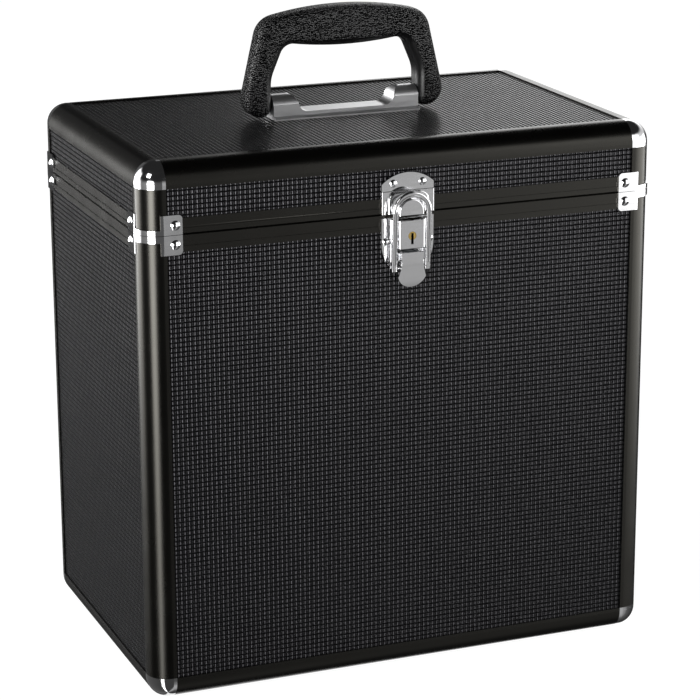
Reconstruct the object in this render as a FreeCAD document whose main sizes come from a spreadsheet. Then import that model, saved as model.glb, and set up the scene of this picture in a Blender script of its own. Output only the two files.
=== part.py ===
import FreeCAD, Part
import math
import os
import Sketcher
from FreeCAD import Placement, Rotation, Vector

# Record carrying case: boards in an aluminium frame, chrome corners, a keyed draw latch and a
# folding handle. Origin: middle of the underside. +Z is up, the latch faces -Y.

# Driving dimensions in millimetres. A name that ends in angle is in degrees.
SIZES = {
    # case envelope, closed, without latch and handle
    "case_width": 355.0,
    "case_depth": 225.0,
    "case_height": 358.0,
    "lid_height": 45.5,
    "seam": 0.3,
    # boards and the extrusions that hold their edges
    "board": 5.0,
    "lip": 1.0,
    "edge_radius": 14.0,
    "flange": 16.3,
    "channel_seat": 10.5,
    "web": 1.0,
    "skin": 1.0,
    "inner_flange": 13.0,
    # closing rails
    "base_rail": 11.2,
    "lid_rail": 10.2,
    "rail_seat": 6.2,
    "rail_band": 3.7,
    "rail_groove": 3.7,
    "rail_groove_depth": 0.5,
    "rail_chamfer": 0.5,
    "tongue_start": 2.8,
    "tongue": 1.6,
    "tongue_height": 4.0,
    "tongue_clearance": 0.4,
    "tongue_end_gap": 1.5,
    # sheet metal corner brackets at the parting
    "plate": 1.0,
    "tab_start": 12.0,
    "tab_end": 26.2,
    "tab_height": 12.6,
    "tab_corner": 2.6,
    "base_band": 4.4,
    "lid_band": 3.3,
    "rivet_inset": 21.5,
    "rivet_rise": 6.2,
    # rivets
    "rivet_dome": 1.3,
    "rivet_sphere": 4.6,
    "latch_rivet_dome": 1.1,
    "latch_rivet_sphere": 3.6,
    "rivet_shank": 1.5,
    "rivet_grip": 3.0,
    "rivet_hole_clearance": 0.05,
    # rear hinges, each with five knuckles
    "hinge_inset": 72.5,
    "hinge_width": 50.0,
    "hinge_plate": 1.2,
    "hinge_knuckle": 2.75,
    "hinge_pin": 1.2,
    "hinge_pin_clearance": 0.05,
    "hinge_gap": 0.4,
    "hinge_height": 13.0,
    "hinge_rivet_spread": 15.0,
    "hinge_rivet_rise": 8.4,
    # lining
    "lining": 1.5,
    "lining_inset": 1.0,
    # strike plate and hook on the lid
    "latch_plate": 1.2,
    "strike_half": 18.0,
    "strike_side": 19.7,
    "strike_arch": 26.4,
    "strike_foot": 0.3,
    "skirt_top": 15.2,
    "skirt": 0.7,
    "strike_rivet_half": 10.1,
    "strike_rivet_rise": 20.1,
    "pedestal_half": 14.0,
    "pedestal_top": 14.4,
    "pedestal": 1.4,
    "pedestal_corner": 6.0,
    "hook_half": 9.4,
    "hook_foot": 1.0,
    "hook_top": 11.6,
    "hook_draft_angle": 8.0,
    "hook_edge": 0.7,
    "hook_catch": 0.4,
    # bail
    "bail_half": 13.5,
    "bail_band": 3.8,
    "bail_thick": 2.4,
    "bail_edge": 0.9,
    "bail_groove_inset": 1.6,
    "bail_groove": 0.9,
    "bail_groove_depth": 0.5,
    "bail_top": 15.8,
    "bail_heel": 2.2,
    "bail_pin": 1.1,
    "bail_lean_angle": 3.2,
    # base plate, lock housing and lock cylinder
    "keeper_half": 18.0,
    "keeper_top": 2.3,
    "keeper_side": 19.5,
    "keeper_foot": 36.0,
    "keeper_foot_half": 11.2,
    "keeper_curve": 24.0,
    "keeper_rivet_half": 15.2,
    "keeper_rivet_drop": 17.6,
    "platform_half": 12.3,
    "platform_top": 3.0,
    "platform_foot": 31.0,
    "platform": 2.2,
    "platform_edge": 1.0,
    "housing_half": 8.8,
    "housing_top": 2.7,
    "housing_foot": 22.0,
    "housing_face": 9.0,
    "housing_edge": 0.8,
    "lock_drop": 13.2,
    "lock_radius": 2.8,
    "lock_clearance": 0.05,
    "lock_depth": 3.6,
    "key_slot": 1.7,
    "key_slot_depth": 2.2,
    "key_slot_rise": 1.7,
    "key_tail": 5.6,
    # lever
    "pivot_drop": 26.3,
    "pivot_proud": 6.5,
    "pivot_pin": 1.2,
    "pivot_clearance": 0.05,
    "lever_throw": 7.8,
    "lever_plate": 1.2,
    "lever_front": 3.4,
    "lever_top": 2.2,
    "lever_half": 7.9,
    "lever_flare_half": 9.6,
    "lever_flare_drop": 13.8,
    "lever_tip_drop": 21.2,
    "lever_tip_curve": 10.2,
    "lever_waist_curve": 30.0,
    "lever_bend_drop": 5.0,
    "lever_tip_tuck": 3.4,
    "cheek": 1.2,
    "cheek_half": 7.7,
    "cheek_back": 2.4,
    "cheek_end": 2.4,
    "cheek_corner": 2.2,
    "ear": 1.3,
    "ear_gap": 0.3,
    "ear_half_height": 2.0,
    # handle bracket, on the lid board
    "bracket_half": 52.0,
    "bracket_half_depth": 11.5,
    "bracket_edge": 1.0,
    "bracket_wall_half": 8.5,
    "bracket_shelf": 2.4,
    "bracket_wall": 10.1,
    "bracket_height": 16.2,
    "lug": 11.0,
    "lug_slope": 13.5,
    "channel_height": 4.6,
    # grip, measured from the lid board
    "pivot_height": 10.3,
    "grip_pin": 2.5,
    "grip_pin_clearance": 0.05,
    "grip_pin_reach": 9.0,
    "grip_side_gap": 0.3,
    "grip_depth": 19.0,
    "grip_height": 74.0,
    "grip_shoulder_reach": 7.3,
    "grip_shoulder_height": 66.2,
    "grip_shoulder_curve": 16.0,
    "grip_foot_reach": 22.3,
    "grip_foot_lift": 1.6,
    "grip_foot_curve": 12.0,
    "grip_heel_curve": 7.0,
    "grip_inner_height": 27.5,
    "grip_inner_curve": 25.0,
    "grip_window_inset": 9.5,
    "grip_window_height": 50.6,
    "grip_window_curve": 9.0,
    "grip_belly_height": 47.0,
    "grip_round": 6.5,
    # stiffener and screws under the lid board
    "stiffener_reach": 6.0,
    "stiffener_half_depth": 12.0,
    "stiffener": 0.9,
    "screw_inset": 5.5,
    "screw_half_depth": 5.2,
    "screw_radius": 1.5,
    "screw_head": 2.7,
    "screw_reach": 4.0,
    "screw_clearance": 0.05,
    "overrun": 2.0,
}
FIT_TOLERANCE = 1e-4


class Size:
    """A length that carries both its number and the sheet formula that gives it."""

    def __init__(self, value, text):
        self.value = value
        self.text = text

    def __add__(self, other):
        return Size(self.value + other.value, f"({self.text} + {other.text})")

    def __sub__(self, other):
        return Size(self.value - other.value, f"({self.text} - {other.text})")

    def __neg__(self):
        return Size(-self.value, f"(0 - {self.text})")

    def __mul__(self, count):
        return Size(self.value * count, f"({self.text} * {count})")

    def __truediv__(self, count):
        return Size(self.value / count, f"({self.text} / {count})")


def rise_over(run, angle):
    """Height gained over a run at an angle in degrees."""
    return Size(run.value * math.tan(math.radians(angle.value)), f"({run.text} * tan({angle.text}))")


def tangent_radius(run, rise):
    """Radius of the arc that leaves a line and gains a rise over a run."""
    value = (run.value ** 2 + rise.value ** 2) / (2 * rise.value)
    return Size(value, f"(({run.text} ^ 2 + {rise.text} ^ 2) / (2 * {rise.text}))")


def cap_angle(depth, radius):
    """Latitude at which a sphere is cut at a depth below its middle."""
    return Size(math.degrees(math.asin(depth.value / radius.value)), f"asin({depth.text} / {radius.text})")


doc = FreeCAD.newDocument("record_case")
sheet = doc.addObject("Spreadsheet::Sheet", "Sizes")
for row, (alias, number) in enumerate(SIZES.items(), start=1):
    sheet.set(f"A{row}", alias)
    sheet.set(f"B{row}", str(number))
    sheet.setAlias(f"B{row}", alias)
doc.recompute()


class Sheet:
    """The sheet's cells as Size values, one attribute for each alias."""

    def __init__(self, numbers):
        for alias, number in numbers.items():
            setattr(self, alias, Size(number, f"Sizes.{alias}"))


s = Sheet(SIZES)
ZERO = Size(0.0, "0")
X, Y, Z = Vector(1, 0, 0), Vector(0, 1, 0), Vector(0, 0, 1)
nodes = {}
failures = []


def keep(name, piece):
    """Records a finished piece under its node name."""
    piece.Label = name
    nodes[name] = piece
    return piece


def bind(piece, **values):
    """Binds properties of a piece to sheet formulas."""
    for key, size in values.items():
        piece.setExpression(key, size.text)


def place(piece, x, y, z, local_x=X, local_y=Y):
    """Puts a piece's origin at a place, with its own x and y along two directions."""
    turn = Rotation(local_x, local_y, local_x.cross(local_y), "XYZ")
    piece.Placement = Placement(Vector(x.value, y.value, z.value), turn)
    piece.setExpression("Placement.Base.x", x.text)
    piece.setExpression("Placement.Base.y", y.text)
    piece.setExpression("Placement.Base.z", z.text)
    return piece


def line(x, y):
    """A straight side that ends at a point."""
    return (x, y, None)


def bend(x, y, radius):
    """An arc that ends at a point: a positive radius turns left, a negative one right."""
    return (x, y, radius)


def arc_centre(start, end, radius):
    """Centre of the short arc between two points."""
    chord = end - start
    half = chord.Length / 2
    rise = math.sqrt(max(radius * radius - half * half, 0))
    left = Vector(-chord.y, chord.x, 0).normalize()
    side = 1 if radius > 0 else -1
    return (start + end) / 2 + left * rise * side


def draw(sketch, outline):
    """Adds a closed outline whose points and radii follow the sheet."""
    first = sketch.GeometryCount
    count = len(outline)
    begins = {}
    ends = {}
    for index, (x, y, radius) in enumerate(outline):
        before_x, before_y, _ = outline[index - 1]
        start = Vector(before_x.value, before_y.value, 0)
        end = Vector(x.value, y.value, 0)
        number = first + index
        if radius is None:
            sketch.addGeometry(Part.LineSegment(start, end))
            begins[index], ends[index] = 1, 2
            continue
        middle = arc_centre(start, end, radius.value)
        turns_left = radius.value > 0
        low, high = (start, end) if turns_left else (end, start)
        low_angle = math.atan2(low.y - middle.y, low.x - middle.x)
        high_angle = math.atan2(high.y - middle.y, high.x - middle.x)
        if high_angle < low_angle:
            high_angle += 2 * math.pi
        circle = Part.Circle(middle, Z, abs(radius.value))
        sketch.addGeometry(Part.ArcOfCircle(circle, low_angle, high_angle))
        begins[index], ends[index] = (1, 2) if turns_left else (2, 1)
        fixed = sketch.addConstraint(Sketcher.Constraint("Radius", number, abs(radius.value)))
        text = radius.text if turns_left else (-radius).text
        sketch.setExpression(f"Constraints[{fixed}]", text)
    for index, (x, y, _) in enumerate(outline):
        number = first + index
        after = (index + 1) % count
        joint = Sketcher.Constraint("Coincident", number, ends[index], first + after, begins[after])
        sketch.addConstraint(joint)
        for kind, size in (("DistanceX", x), ("DistanceY", y)):
            distance = Sketcher.Constraint(kind, -1, 1, number, ends[index], size.value)
            fixed = sketch.addConstraint(distance)
            sketch.setExpression(f"Constraints[{fixed}]", size.text)


def draw_circle(sketch, x, y, radius):
    """Adds a circle whose centre and radius follow the sheet."""
    number = sketch.GeometryCount
    sketch.addGeometry(Part.Circle(Vector(x.value, y.value, 0), Z, radius.value))
    for kind, size in (("DistanceX", x), ("DistanceY", y)):
        fixed = sketch.addConstraint(Sketcher.Constraint(kind, -1, 1, number, 3, size.value))
        sketch.setExpression(f"Constraints[{fixed}]", size.text)
    fixed = sketch.addConstraint(Sketcher.Constraint("Radius", number, radius.value))
    sketch.setExpression(f"Constraints[{fixed}]", radius.text)


def new_body(name):
    """An empty body."""
    return doc.addObject("PartDesign::Body", name)


def new_sketch(body, role, outlines, offset=ZERO):
    """A sketch on one of the body's own planes, moved along the plane's normal."""
    sketch = body.newObject("Sketcher::SketchObject", f"{body.Name}_sketch")
    plane = [feature for feature in body.Origin.OriginFeatures if feature.Role == role][0]
    sketch.AttachmentSupport = [(plane, "")]
    sketch.MapMode = "FlatFace"
    sketch.setExpression("AttachmentOffset.Base.z", offset.text)
    for outline in outlines:
        draw(sketch, outline)
    return sketch


def pad(body, role, outlines, length, offset=ZERO, middle=False, draft=None):
    """Pads outlines along the plane's normal, or both ways from it."""
    feature = body.newObject("PartDesign::Pad", f"{body.Name}_pad")
    feature.Profile = new_sketch(body, role, outlines, offset)
    feature.Midplane = middle
    bind(feature, Length=length)
    if draft is not None:
        bind(feature, TaperAngle=-draft)
    doc.recompute()
    return feature


def pocket(body, role, outlines, depth, offset=ZERO, reverse=False):
    """Cuts outlines against the plane's normal, or along it, and checks that it removed metal."""
    before = body.Shape.Volume
    feature = body.newObject("PartDesign::Pocket", f"{body.Name}_pocket")
    feature.Profile = new_sketch(body, role, outlines, offset)
    feature.Reversed = reverse
    bind(feature, Length=depth)
    doc.recompute()
    if body.Shape.Volume >= before:
        failures.append(f"{body.Name}: a pocket removed nothing")
    return feature


def round_edges(body, radius, wanted):
    """Fillets the edges of the body's last feature that a test accepts."""
    base = body.Tip
    names = []
    for number, edge in enumerate(base.Shape.Edges, start=1):
        if wanted(edge):
            names.append(f"Edge{number}")
    if not names:
        failures.append(f"{body.Name}: no edge to round")
        return None
    feature = body.newObject("PartDesign::Fillet", f"{body.Name}_fillet")
    feature.Base = (base, names)
    bind(feature, Radius=radius)
    doc.recompute()
    return feature


def near(number, size):
    """Says whether a number is the value of a size."""
    return abs(number - size.value) < FIT_TOLERANCE


def box(name, low, high):
    """A box between two corners."""
    piece = doc.addObject("Part::Box", name)
    sides = [high[axis] - low[axis] for axis in range(3)]
    bind(piece, Length=sides[0], Width=sides[1], Height=sides[2])
    return place(piece, *low)


def cylinder(name, radius, length, x, y, z, along=Z):
    """A cylinder that starts at a place and runs along a direction."""
    piece = doc.addObject("Part::Cylinder", name)
    bind(piece, Radius=radius, Height=length)
    side = Z if abs(along.z) < FIT_TOLERANCE else X
    return place(piece, x, y, z, side, along.cross(side))


def mirrored(name, source, normal, base_height=ZERO):
    """The mirror image of a piece in a plane through the middle or at a height."""
    piece = doc.addObject("Part::Mirroring", name)
    piece.Source = source
    piece.Normal = normal
    piece.setExpression("Base.z", base_height.text)
    return piece


def group(name, pieces):
    """Several separate solids in one node."""
    piece = doc.addObject("Part::Compound", name)
    piece.Links = pieces
    return piece


def fused(name, pieces):
    """One solid from several."""
    piece = doc.addObject("Part::MultiFuse", name)
    piece.Shapes = pieces
    return piece


def cut(name, base, tool):
    """A piece less a tool."""
    piece = doc.addObject("Part::Cut", name)
    piece.Base = base
    piece.Tool = tool
    return piece


# Places worked out once from the driving dimensions
half_width = s.case_width / 2
half_depth = s.case_depth / 2
parting = s.case_height - s.lid_height
inner_face = s.lip + s.board
inner_lip = inner_face + s.lip
base_top = parting - s.seam / 2
lid_bottom = parting + s.seam / 2
rail_width = s.case_width - s.flange * 2
rail_depth = s.case_depth - s.flange * 2
front = -half_depth
hinge_middle = half_width - s.hinge_inset


# Rivets: a domed head on the plate and a shank through it. Each place is a centre on the plate's
# outer face, with the direction that the head faces.
def rivet_group(name, places, sphere, dome):
    """Domed rivets at their places, as separate solids of one node."""
    rivets = []
    sink = sphere - dome
    for number, (x, y, z, outward) in enumerate(places):
        head = doc.addObject("Part::Sphere", f"{name}_{number}_head")
        bind(head, Radius=sphere, Angle1=cap_angle(sink, sphere))
        side = Z if abs(outward.z) < FIT_TOLERANCE else X
        centre = [moved(size, outward, axis, -sink) for axis, size in enumerate((x, y, z))]
        place(head, *centre, side, outward.cross(side))
        start = [moved(size, outward, axis, -s.rivet_grip) for axis, size in enumerate((x, y, z))]
        shank = cylinder(f"{name}_{number}_shank", s.rivet_shank, s.rivet_grip, *start, outward)
        rivets.append(fused(f"{name}_{number}", [head, shank]))
    return keep(name, group(f"{name}_group", rivets))


def moved(size, outward, axis, distance):
    """A coordinate moved along a direction that is one of the axes."""
    share = round(outward[axis])
    if share == 0:
        return size
    return size + distance if share > 0 else size - distance


def rivet_holes(name, places):
    """Clearance holes for the rivets' shanks, as one tool."""
    holes = []
    radius = s.rivet_shank + s.rivet_hole_clearance
    depth = s.rivet_grip + s.overrun * 2
    for number, (x, y, z, outward) in enumerate(places):
        centre = (x, y, z)
        start = [moved(size, outward, axis, -(depth - s.overrun)) for axis, size in enumerate(centre)]
        holes.append(cylinder(f"{name}_{number}", radius, depth, *start, outward))
    return group(name, holes)


def bracket_places(height):
    """Rivet places on the four corner brackets, at a height."""
    places = []
    for side in (-1, 1):
        for end in (-1, 1):
            x = (half_width - s.rivet_inset) * side
            y = (half_depth - s.rivet_inset) * end
            places.append((x, (half_depth + s.plate) * end, height, Y * end))
            places.append(((half_width + s.plate) * side, y, height, X * side))
    return places


def hinge_places(height):
    """Rivet places on the two rear hinges, at a height."""
    places = []
    for side in (-1, 1):
        for end in (-1, 1):
            x = hinge_middle * side + s.hinge_rivet_spread * end
            places.append((x, half_depth + s.hinge_plate, height, Y))
    return places


def latch_places(half, height):
    """Two rivet places on a latch plate, at a height."""
    return [(half * side, front - s.latch_plate, height, -Y) for side in (-1, 1)]


base_bracket_places = bracket_places(parting - s.rivet_rise)
lid_bracket_places = bracket_places(parting + s.rivet_rise)
base_hinge_places = hinge_places(parting - s.hinge_rivet_rise)
lid_hinge_places = hinge_places(parting + s.hinge_rivet_rise)
keeper_places = latch_places(s.keeper_rivet_half, parting - s.keeper_rivet_drop)
strike_places = latch_places(s.strike_rivet_half, parting + s.strike_rivet_rise)
rivet_group("base_rivets", base_bracket_places + base_hinge_places, s.rivet_sphere, s.rivet_dome)
rivet_group("lid_rivets", lid_bracket_places + lid_hinge_places, s.rivet_sphere, s.rivet_dome)
rivet_group("latch_plate_rivets", keeper_places, s.latch_rivet_sphere, s.latch_rivet_dome)
rivet_group("strike_rivets", strike_places, s.latch_rivet_sphere, s.latch_rivet_dome)
base_places = base_bracket_places + base_hinge_places + keeper_places
lid_places = lid_bracket_places + lid_hinge_places + strike_places
base_holes = rivet_holes("base_rivet_holes", base_places)
lid_holes = rivet_holes("lid_rivet_holes", lid_places)


# Boards: flat panels whose edges sit in the extrusions
def board(name, low, high, holes=None):
    """A board between two corners, drilled for the rivets that reach it."""
    if holes is None:
        return keep(name, box(f"{name}_board", low, high))
    return keep(name, cut(f"{name}_drilled", box(f"{name}_blank", low, high), holes))


seat_x = half_width - s.channel_seat
seat_y = half_depth - s.channel_seat
face_x = half_width - s.lip
face_y = half_depth - s.lip
back_x = face_x - s.board
back_y = face_y - s.board
base_board_top = base_top - s.rail_seat
lid_board_bottom = lid_bottom + s.rail_seat
lid_board_top = s.case_height - s.channel_seat
board("base_bottom_board", (-seat_x, -seat_y, s.lip), (seat_x, seat_y, inner_face))
for level, low_z, high_z, holes in (
    ("base", s.channel_seat, base_board_top, base_holes),
    ("lid", lid_board_bottom, lid_board_top, lid_holes),
):
    board(f"{level}_front_board", (-seat_x, -face_y, low_z), (seat_x, -back_y, high_z), holes)
    board(f"{level}_back_board", (-seat_x, back_y, low_z), (seat_x, face_y, high_z), holes)
    board(f"{level}_left_board", (-face_x, -seat_y, low_z), (-back_x, seat_y, high_z), holes)
    board(f"{level}_right_board", (back_x, -seat_y, low_z), (face_x, seat_y, high_z), holes)


# Edge extrusions: a rounded outer wall, two channels for the boards and a hollow corner chamber.
# The chamber's arc runs parallel to the outer wall, between the two webs.
chamber_wall = s.channel_seat - s.web
chamber_run = s.edge_radius - chamber_wall
chamber_radius = s.edge_radius - s.skin
chamber_start = Size(
    s.edge_radius.value - math.sqrt(chamber_radius.value ** 2 - chamber_run.value ** 2),
    f"({s.edge_radius.text} - sqrt({chamber_radius.text} ^ 2 - {chamber_run.text} ^ 2))",
)


def extrusion(name, start, inward_a, inward_b, length):
    """An edge extrusion from a point on the envelope's edge, along inward_a x inward_b."""
    body = new_body(f"{name}_extrusion")
    r = s.edge_radius
    section = [
        bend(r, ZERO, r), line(s.flange, ZERO), line(s.flange, s.lip), line(s.channel_seat, s.lip),
        line(s.channel_seat, inner_face), line(s.inner_flange, inner_face),
        line(s.inner_flange, inner_lip), line(inner_lip, inner_lip), line(inner_lip, s.inner_flange),
        line(inner_face, s.inner_flange), line(inner_face, s.channel_seat),
        line(s.lip, s.channel_seat), line(s.lip, s.flange), line(ZERO, s.flange), line(ZERO, r),
    ]
    chamber = [
        bend(chamber_wall, chamber_start, chamber_radius), line(chamber_wall, inner_face),
        line(inner_face, inner_face), line(inner_face, chamber_wall), line(chamber_start, chamber_wall),
    ]
    pad(body, "XY_Plane", [section, chamber], length)
    return keep(name, place(body, *start, inward_a, inward_b))


post_base = base_top - s.flange
post_lid = s.case_height - s.flange - lid_bottom
run_x = half_width - s.flange
run_y = half_depth - s.flange
for level, low_z, tall in (("base", s.flange, post_base), ("lid", lid_bottom, post_lid)):
    extrusion(f"{level}_post_front_left", (-half_width, -half_depth, low_z), X, Y, tall)
    extrusion(f"{level}_post_front_right", (half_width, -half_depth, low_z), Y, -X, tall)
    extrusion(f"{level}_post_back_right", (half_width, half_depth, low_z), -X, -Y, tall)
    extrusion(f"{level}_post_back_left", (-half_width, half_depth, low_z), -Y, X, tall)
for level, height, inward in (("base", ZERO, Z), ("lid", s.case_height, -Z)):
    # each run starts at the end from which the section's two inward directions turn right-handed
    up = inward.z > 0
    extrusion(f"{level}_edge_front", (-run_x if up else run_x, -half_depth, height), Y, inward, rail_width)
    extrusion(f"{level}_edge_back", (run_x if up else -run_x, half_depth, height), -Y, inward, rail_width)
    extrusion(f"{level}_edge_left", (-half_width, run_y if up else -run_y, height), X, inward, rail_depth)
    extrusion(f"{level}_edge_right", (half_width, -run_y if up else run_y, height), -X, inward, rail_depth)


# Closing rails: the base's carry a tongue that the lid's grooves take
def rail_section(height, groove):
    """The rail's closed section from the parting face, with the tongue's groove in that face."""
    groove_end = s.rail_band + s.rail_groove
    return [
        line(s.rail_chamfer, ZERO), line(ZERO, s.rail_chamfer), line(ZERO, s.rail_band),
        line(s.rail_groove_depth, s.rail_band), line(s.rail_groove_depth, groove_end),
        line(ZERO, groove_end), line(ZERO, height), line(s.lip, height), line(s.lip, s.rail_seat),
        line(inner_face, s.rail_seat), line(inner_face, height), line(inner_lip, height),
        line(inner_lip, ZERO),
    ] + groove


def base_rail(name, start, inward, length, tongue):
    """A rail of the base, with its tongue where the lid lifts straight off it."""
    body = new_body(f"{name}_blank")
    pad(body, "XY_Plane", [rail_section(s.base_rail, [])], length)
    if tongue:
        far = s.tongue_start + s.tongue
        strip = [line(s.tongue_start, s.web), line(s.tongue_start, -s.tongue_height),
                 line(far, -s.tongue_height), line(far, s.web)]
        pad(body, "XY_Plane", [strip], length - s.tongue_end_gap * 2, s.tongue_end_gap)
    place(body, *start, inward, -Z)
    return keep(name, cut(f"{name}_drilled", body, base_holes))


def lid_rail(name, start, inward, length, grooved):
    """A rail of the lid, grooved for the tongue below it."""
    body = new_body(f"{name}_blank")
    groove = []
    if grooved:
        near_wall = s.tongue_start - s.tongue_clearance
        far_wall = s.tongue_start + s.tongue + s.tongue_clearance
        roof = s.tongue_height + s.tongue_clearance
        groove = [line(far_wall, ZERO), line(far_wall, roof), line(near_wall, roof), line(near_wall, ZERO)]
    pad(body, "XY_Plane", [rail_section(s.lid_rail, groove)], length)
    place(body, *start, inward, Z)
    return keep(name, cut(f"{name}_drilled", body, lid_holes))


base_rail("base_rail_front", (run_x, -half_depth, base_top), Y, rail_width, True)
base_rail("base_rail_back", (-run_x, half_depth, base_top), -Y, rail_width, False)
base_rail("base_rail_left", (-half_width, -run_y, base_top), X, rail_depth, True)
base_rail("base_rail_right", (half_width, run_y, base_top), -X, rail_depth, True)
lid_rail("lid_rail_front", (-run_x, -half_depth, lid_bottom), Y, rail_width, True)
lid_rail("lid_rail_back", (run_x, half_depth, lid_bottom), -Y, rail_width, False)
lid_rail("lid_rail_left", (-half_width, run_y, lid_bottom), X, rail_depth, True)
lid_rail("lid_rail_right", (half_width, -run_y, lid_bottom), -X, rail_depth, True)


# Ball corners: a cube whose outer edges and point are rounded, slotted for the three boards
def ball_corner():
    """The corner cap at the front, left and bottom."""
    body = new_body("ball_corner_blank")
    cube = [line(ZERO, ZERO), line(s.flange, ZERO), line(s.flange, s.flange), line(ZERO, s.flange)]
    pad(body, "XY_Plane", [cube], s.flange)
    round_edges(body, s.edge_radius, outer_edge)
    place(body, -half_width, -half_depth, ZERO)
    far = s.flange + s.overrun
    lows = [(s.lip, s.channel_seat, s.channel_seat), (s.channel_seat, s.lip, s.channel_seat),
            (s.channel_seat, s.channel_seat, s.lip), (inner_lip, inner_lip, inner_lip)]
    highs = [(inner_face, far, far), (far, inner_face, far), (far, far, inner_face), (far, far, far)]
    tools = []
    for number, (low, high) in enumerate(zip(lows, highs)):
        tool_low = (low[0] - half_width, low[1] - half_depth, low[2])
        tool_high = (high[0] - half_width, high[1] - half_depth, high[2])
        tools.append(box(f"ball_corner_slot_{number}", tool_low, tool_high))
    return cut("ball_corner", body, fused("ball_corner_slots", tools))


def outer_edge(edge):
    """Says whether an edge starts from the cube's own corner."""
    return any(vertex.Point.Length < FIT_TOLERANCE for vertex in edge.Vertexes)


corner_left = ball_corner()
corner_right = mirrored("ball_corner_right", corner_left, X)
corner_back = mirrored("ball_corner_back", corner_left, Y)
corner_back_right = mirrored("ball_corner_back_right", corner_right, Y)
base_caps = group("base_caps_group", [corner_left, corner_right, corner_back, corner_back_right])
keep("base_corner_caps", base_caps)
keep("lid_corner_caps", mirrored("lid_caps_group", base_caps, Z, s.case_height / 2))


# Corner brackets: a tab on each face and a narrow band round the corner between them
def corner_brackets(name, band, height, upward, holes):
    """The four brackets of one side of the parting, as separate solids of one node."""
    body = new_body(f"{name}_blank")
    r = s.edge_radius
    outline = [bend(ZERO, r, -r), line(ZERO, s.tab_end), line(-s.plate, s.tab_end),
               line(-s.plate, r), bend(r, -s.plate, r + s.plate), line(s.tab_end, -s.plate),
               line(s.tab_end, ZERO), line(r, ZERO)]
    pad(body, "XY_Plane", [outline], height)
    reach = s.plate + s.overrun
    window = [line(-reach, -reach), line(s.tab_start, -reach), line(s.tab_start, s.tab_start),
              line(-reach, s.tab_start)]
    pocket(body, "XY_Plane", [window], height, band, reverse=True)

    def tab_corner_edge(edge):
        first, last = edge.Vertexes[0].Point, edge.Vertexes[-1].Point
        high = near(first.z, height) and near(last.z, height)
        across = near(edge.Length, s.plate)
        return high and across

    round_edges(body, s.tab_corner, tab_corner_edge)
    start = base_top if upward < 0 else lid_bottom
    place(body, -half_width, -half_depth, start)
    left = body
    if upward < 0:
        left = mirrored(f"{name}_turned", body, Z, base_top)
    right = mirrored(f"{name}_right", left, X)
    back = mirrored(f"{name}_back", left, Y)
    back_right = mirrored(f"{name}_back_right", right, Y)
    drilled = [cut(f"{name}_drilled_{number}", blank, holes)
               for number, blank in enumerate((left, right, back, back_right))]
    keep(name, group(f"{name}_group", drilled))


corner_brackets("base_corner_brackets", s.base_band, s.tab_height, -1, base_holes)
corner_brackets("lid_corner_brackets", s.lid_band, s.tab_height, 1, lid_holes)


# Linings: a thin foam tray in the base and one in the lid, against the extrusions' inner lips
def lining(name, low_z, high_z, open_low, open_high):
    """A tray between two heights, open where the case opens."""
    outer = box(f"{name}_outer", (inner_lip - half_width, inner_lip - half_depth, low_z),
                (half_width - inner_lip, half_depth - inner_lip, high_z))
    edge = inner_lip + s.lining
    inner = box(f"{name}_inner", (edge - half_width, edge - half_depth, open_low),
                (half_width - edge, half_depth - edge, open_high))
    return keep(name, cut(f"{name}_tray", outer, inner))


base_floor = inner_lip + s.lining
lid_ceiling = s.case_height - inner_lip - s.lining
lining("base_lining", inner_lip, base_top - s.lining_inset, base_floor, base_top + s.overrun)
lining("lid_lining", lid_bottom + s.lining_inset, s.case_height - inner_lip,
       lid_bottom - s.overrun, lid_ceiling)


# Rear hinges: two leaves with interlocking knuckles on a fixed pin
axis_y = half_depth + s.hinge_knuckle
knuckle_count = 5
knuckle = s.hinge_width / knuckle_count
knuckle_bore = s.hinge_pin + s.hinge_pin_clearance


def hinge_leaf(name, knuckles, upward, holes):
    """One leaf of the right-hand hinge and its mirror image, drilled for the rivets."""
    blank = f"{name}_blank"
    edge_near = s.hinge_knuckle + s.hinge_gap
    ends = (s.hinge_height, edge_near) if upward < 0 else (edge_near, s.hinge_height)
    low_z, high_z = [parting + end * upward for end in ends]
    back = half_depth + s.hinge_plate
    plate = box(f"{blank}_plate", (hinge_middle - s.hinge_width / 2, half_depth, low_z),
                (hinge_middle + s.hinge_width / 2, back, high_z))
    pieces = [plate]
    for index in knuckles:
        start = hinge_middle - s.hinge_width / 2 + knuckle * index
        left = start if index == 0 else start + s.hinge_gap / 2
        right = start + knuckle
        if index < knuckle_count - 1:
            right = right - s.hinge_gap / 2
        barrel = cylinder(f"{blank}_barrel_{index}", s.hinge_knuckle, right - left,
                          left, axis_y, parting, X)
        near_z, far_z = (high_z, parting) if upward < 0 else (parting, low_z)
        tab = box(f"{blank}_tab_{index}", (left, half_depth, near_z), (right, back, far_z))
        pieces.extend([barrel, tab])
    bore_half = s.hinge_width / 2 + s.overrun
    bore = cylinder(f"{blank}_bore", knuckle_bore, bore_half * 2, hinge_middle - bore_half, axis_y,
                    parting, X)
    right_cuts = fused(f"{blank}_right_cuts", [bore, holes])
    left_cuts = mirrored(f"{blank}_left_cuts", right_cuts, X)
    right_leaf = fused(f"{blank}_right", pieces)
    left_leaf = mirrored(f"{blank}_left", right_leaf, X)
    leaves = [cut(f"{name}_right", right_leaf, right_cuts), cut(f"{name}_left", left_leaf, left_cuts)]
    return keep(name, group(f"{name}_group", leaves))


hinge_leaf("hinge_base_leaves", (0, 2, 4), -1, base_holes)
hinge_leaf("hinge_lid_leaves", (1, 3), 1, lid_holes)
pin_right = cylinder("hinge_pin_right", s.hinge_pin, s.hinge_width, hinge_middle - s.hinge_width / 2,
                     axis_y, parting, X)
keep("hinge_pins", group("hinge_pins_group", [pin_right, mirrored("hinge_pin_left", pin_right, X)]))


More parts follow.
